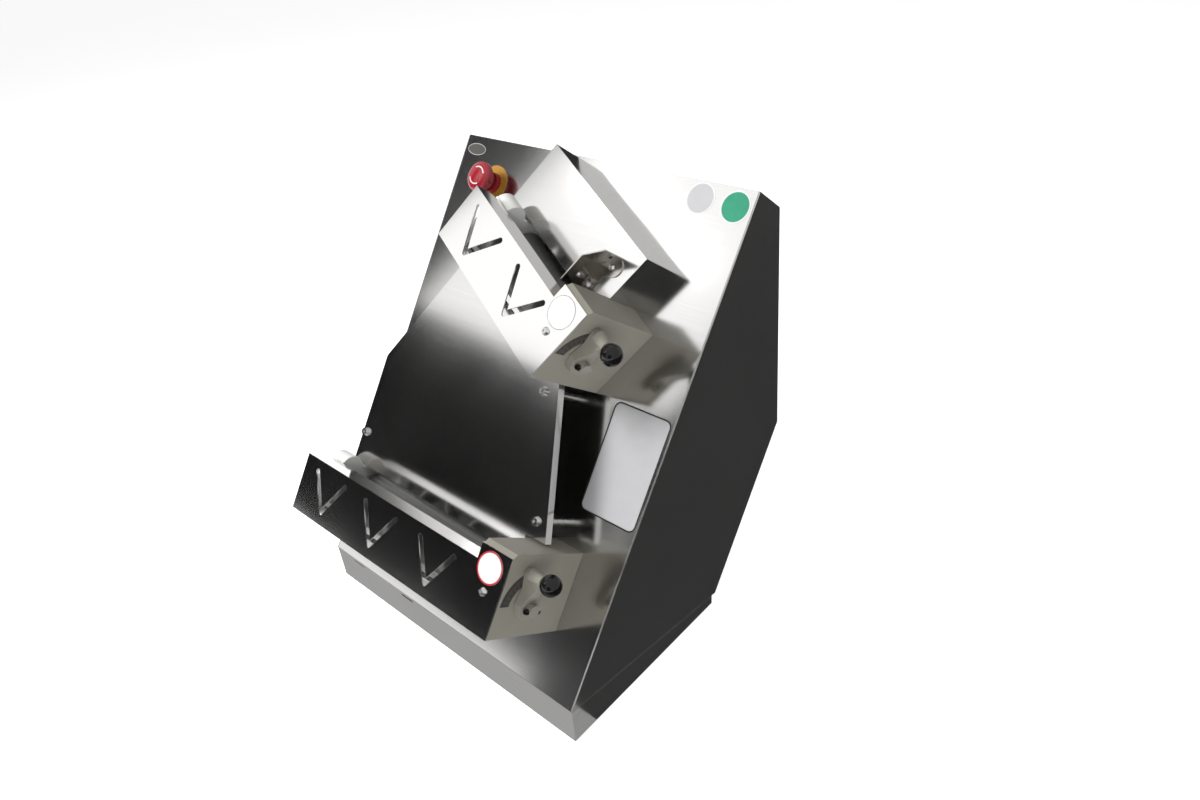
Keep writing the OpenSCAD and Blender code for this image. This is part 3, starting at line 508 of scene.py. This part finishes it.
def plain_number(figure):
    """Flat number as a mesh, centred, drawn in millimetres."""
    curve = bpy.data.curves.new("figure", "FONT")
    curve.body = figure
    curve.size = NUMBER_HEIGHT
    curve.extrude = 0.06
    curve.align_x = "CENTER"
    curve.align_y = "CENTER"
    holder = bpy.data.objects.new("figure", curve)
    bpy.context.scene.collection.objects.link(holder)
    bpy.context.view_layer.update()
    evaluated = holder.evaluated_get(bpy.context.evaluated_depsgraph_get())
    flat = bpy.data.meshes.new_from_object(evaluated)
    bpy.data.objects.remove(holder)
    bpy.data.curves.remove(curve)
    return flat


def stop_head_arcs():
    """Two pale turning marks on the dome of the stop button's head."""
    shape = bmesh.new()
    for first in (20, 200):
        low = shape.verts.new((ARC_INNER, 0, STOP_RIM + dome_rise(ARC_INNER) + ARC_LIFT))
        high = shape.verts.new((ARC_OUTER, 0, STOP_RIM + dome_rise(ARC_OUTER) + ARC_LIFT))
        edge = shape.edges.new((low, high))
        bmesh.ops.rotate(shape, verts=[low, high], cent=(0, 0, 0),
                         matrix=Matrix.Rotation(math.radians(first), 3, "Z"))
        bmesh.ops.spin(shape, geom=[low, high, edge], cent=(0, 0, 0), axis=(0, 0, 1),
                       angle=math.radians(100), steps=16)
    bmesh.ops.solidify(shape, geom=shape.faces[:], thickness=0.1)
    new_piece("stop_head_arcs", shape, panel_frame @ Matrix.Translation(STOP_PLACE),
              [label_white], "stop_head")


def dome_rise(radius):
    """Height of the stop head's dome over its rim at a radius."""
    return STOP_DOME * math.sqrt(1 - (radius / STOP_RADIUS) ** 2)


# Studio
FLOOR_GLOW = 0.66
FILL_LIGHT = 0.32
SEEN_WHITE = 1.0


def seen_rays(nodes, links):
    """1 for what the camera, mirrors and glass see, 0 for what only lights."""
    path = nodes.new("ShaderNodeLightPath")
    first = calculate(nodes, links, "MAXIMUM", path.outputs["Is Camera Ray"],
                      path.outputs["Is Glossy Ray"])
    return calculate(nodes, links, "MAXIMUM", first, path.outputs["Is Transmission Ray"])


def studio_floor():
    """White floor that keeps the machine's shadow."""
    floor_look, nodes, links, shader = material("floor_look")
    grain = noise(nodes, links, object_coordinates(nodes, links), 3.0, 2.0)
    links.new(tint(nodes, links, grain, (0.88, 0.88, 0.88), (0.9, 0.9, 0.9)),
              shader.inputs["Base Color"])
    shader.inputs["Roughness"].default_value = 0.9
    shader.inputs["Specular IOR Level"].default_value = 0.0
    shader.inputs["Emission Color"].default_value = (1, 1, 1, 1)
    glow = calculate(nodes, links, "MULTIPLY", seen_rays(nodes, links), FLOOR_GLOW)
    links.new(glow, shader.inputs["Emission Strength"])
    shape = bmesh.new()
    bmesh.ops.create_grid(shape, x_segments=1, y_segments=1, size=12.0)
    into_scene("floor", shape, [floor_look])


def board(name, centre, facing, width, height, shade, rise=0.0):
    """Dark or pale card that only reflections see; its lower edge may rise across its width."""
    look = bpy.data.materials.new(name)
    look.use_nodes = True
    nodes = look.node_tree.nodes
    nodes.clear()
    glow = nodes.new("ShaderNodeEmission")
    glow.inputs["Color"].default_value = (1, 1, 1, 1)
    glow.inputs["Strength"].default_value = shade
    end = nodes.new("ShaderNodeOutputMaterial")
    look.node_tree.links.new(glow.outputs[0], end.inputs["Surface"])
    shape = bmesh.new()
    bmesh.ops.create_grid(shape, x_segments=1, y_segments=1, size=0.5)
    bmesh.ops.scale(shape, vec=(width, height, 1), verts=shape.verts)
    for corner in shape.verts:
        if corner.co.y < 0:
            corner.co.y -= rise * corner.co.x / width
    bmesh.ops.transform(shape, matrix=turned_to(facing, centre), verts=shape.verts)
    card = into_scene(name, shape, [look])
    card.visible_camera = False
    card.visible_diffuse = False
    card.visible_shadow = False
    card.visible_transmission = False


def wall_point(distance, along, up):
    """Point on an upright plane in front of the machine on its left."""
    heading = math.radians(-47)
    outward = Vector((math.sin(heading), -math.cos(heading), 0))
    sideways = Vector((math.cos(heading), math.sin(heading), 0))
    return outward * distance + sideways * along + Vector((0, 0, up))


def reflection_cards():
    """Softbox, low white screen and black flags that the steel mirrors."""
    inward = -wall_point(1.0, 0, 0)
    board("softbox_card", wall_point(2.2, 0.085, 2.23), inward, 1.09, 1.75, 1.5, rise=0.39)
    board("left_tube_card", wall_point(2.15, -0.16, 2.2), inward, 0.16, 0.16, 7)
    board("right_tube_card", wall_point(2.15, 0.2, 2.2), inward, 0.12, 0.12, 7)
    board("low_screen_card", wall_point(2.2, 0.08, 0.16), inward, 1.55, 0.42, 1.3)
    board("strip_card", wall_point(2.25, 0.8, 0.98), inward, 0.12, 0.4, 0.5)
    board("wall_flag", wall_point(2.5, 0.15, 1.2), inward, 2.7, 2.7, 0.012)
    board("right_floor_flag", (1.386, 1.0, 0.003), (0, 0, 1), 2.3, 3.8, 0.05)
    board("right_front_flag", (1.0, -2.3, 0.95), (-0.42, 0.9, 0), 1.5, 1.7, 0.03)
    board("back_flag", (-1.06, 2.27, 1.2), (0.42, -0.906, 0), 3.2, 3.0, 0.03)
    board("front_floor_card", (-0.1, -0.45, 0.003), (0, 0, 1), 0.9, 0.7, 0.5)


def lamp(name, place, target, width, height, power):
    """Soft area lamp turned to a target, not itself mirrored."""
    data = bpy.data.lights.new(name, "AREA")
    data.shape = "RECTANGLE"
    data.size = width
    data.size_y = height
    data.energy = power
    light = bpy.data.objects.new(name, data)
    light.visible_glossy = False
    light.matrix_world = (Matrix.Translation(place)
                          @ (Vector(target) - Vector(place)).to_track_quat("-Z", "Y")
                          .to_matrix().to_4x4())
    bpy.context.scene.collection.objects.link(light)


def light_studio():
    """Plain white surroundings and three soft lamps."""
    world = bpy.data.worlds.new("studio")
    bpy.context.scene.world = world
    world.use_nodes = True
    nodes, links = world.node_tree.nodes, world.node_tree.links
    nodes.clear()
    fill = nodes.new("ShaderNodeBackground")
    fill.inputs["Strength"].default_value = FILL_LIGHT
    white = nodes.new("ShaderNodeBackground")
    white.inputs["Strength"].default_value = SEEN_WHITE
    for shade in (fill, white):
        shade.inputs["Color"].default_value = (1, 1, 1, 1)
    mix = nodes.new("ShaderNodeMixShader")
    end = nodes.new("ShaderNodeOutputWorld")
    links.new(seen_rays(nodes, links), mix.inputs["Fac"])
    links.new(fill.outputs[0], mix.inputs[1])
    links.new(white.outputs[0], mix.inputs[2])
    links.new(mix.outputs[0], end.inputs["Surface"])
    lamp("key_softbox", wall_point(2.2, 0.0, 2.1), (0.0, 0.0, 0.3), 0.9, 1.3, 100)
    lamp("right_fill", (1.9, -1.9, 0.9), (0.1, 0.0, 0.3), 1.6, 1.4, 28)
    lamp("top_softbox", (0.3, 0.2, 2.6), (0.0, 0.0, 0.3), 1.8, 1.8, 8)


place_camera()
dress_nodes()
panel_labels()
guard_films()
dial_marks()
stop_head_arcs()
studio_floor()
reflection_cards()
light_studio()
bpy.context.scene.view_settings.view_transform = "Standard"
